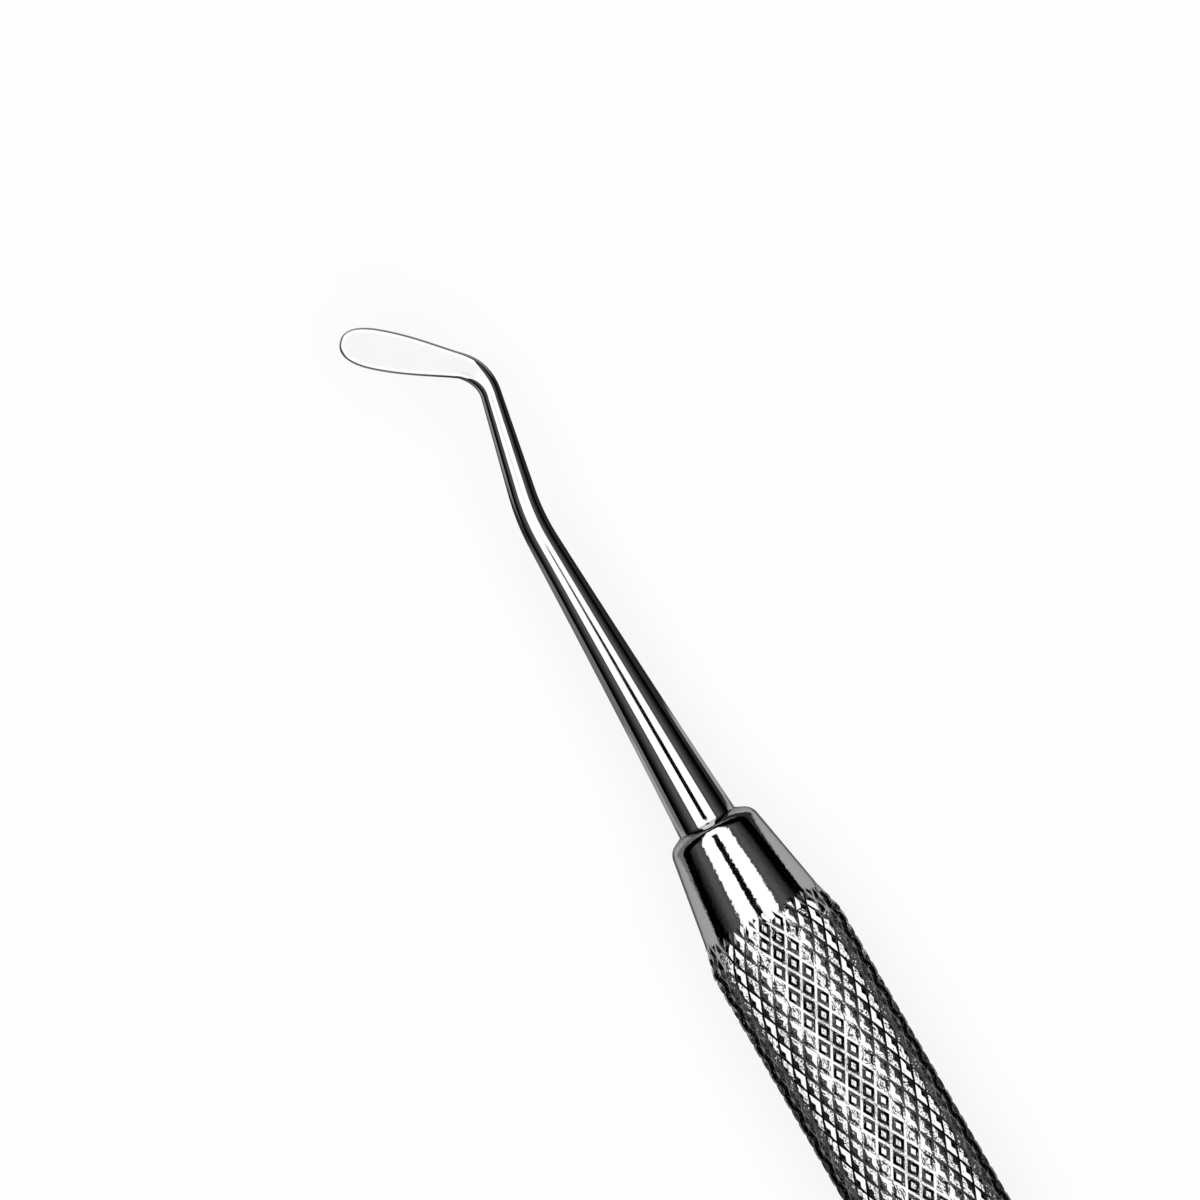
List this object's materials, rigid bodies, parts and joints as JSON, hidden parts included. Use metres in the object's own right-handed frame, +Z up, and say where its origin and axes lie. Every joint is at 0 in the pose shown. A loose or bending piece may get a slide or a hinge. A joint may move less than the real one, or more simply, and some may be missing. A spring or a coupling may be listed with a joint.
{
  "type": "composite instrument",
  "caption": "Dental composite instrument with a knurled round handle and a bent working end with a thin paddle blade at each end, for placing and shaping filling material.",
  "frame": {"origin": "on the table, below the middle of the handle", "axes": "+X along the handle towards the front working end, +Z up from the table; the blades lie flat, and the front blade points to the +Y side"},
  "size_m": [0.1714, 0.0088, 0.008],
  "materials": {
    "handle_steel": "polished stainless steel, knurled",
    "working_end_steel": "mirror-polished stainless steel"
  },
  "bodies": {
    "root": {"handle": "handle_steel", "front_working_end": "working_end_steel", "rear_working_end": "working_end_steel"}
  },
  "joints": []
}
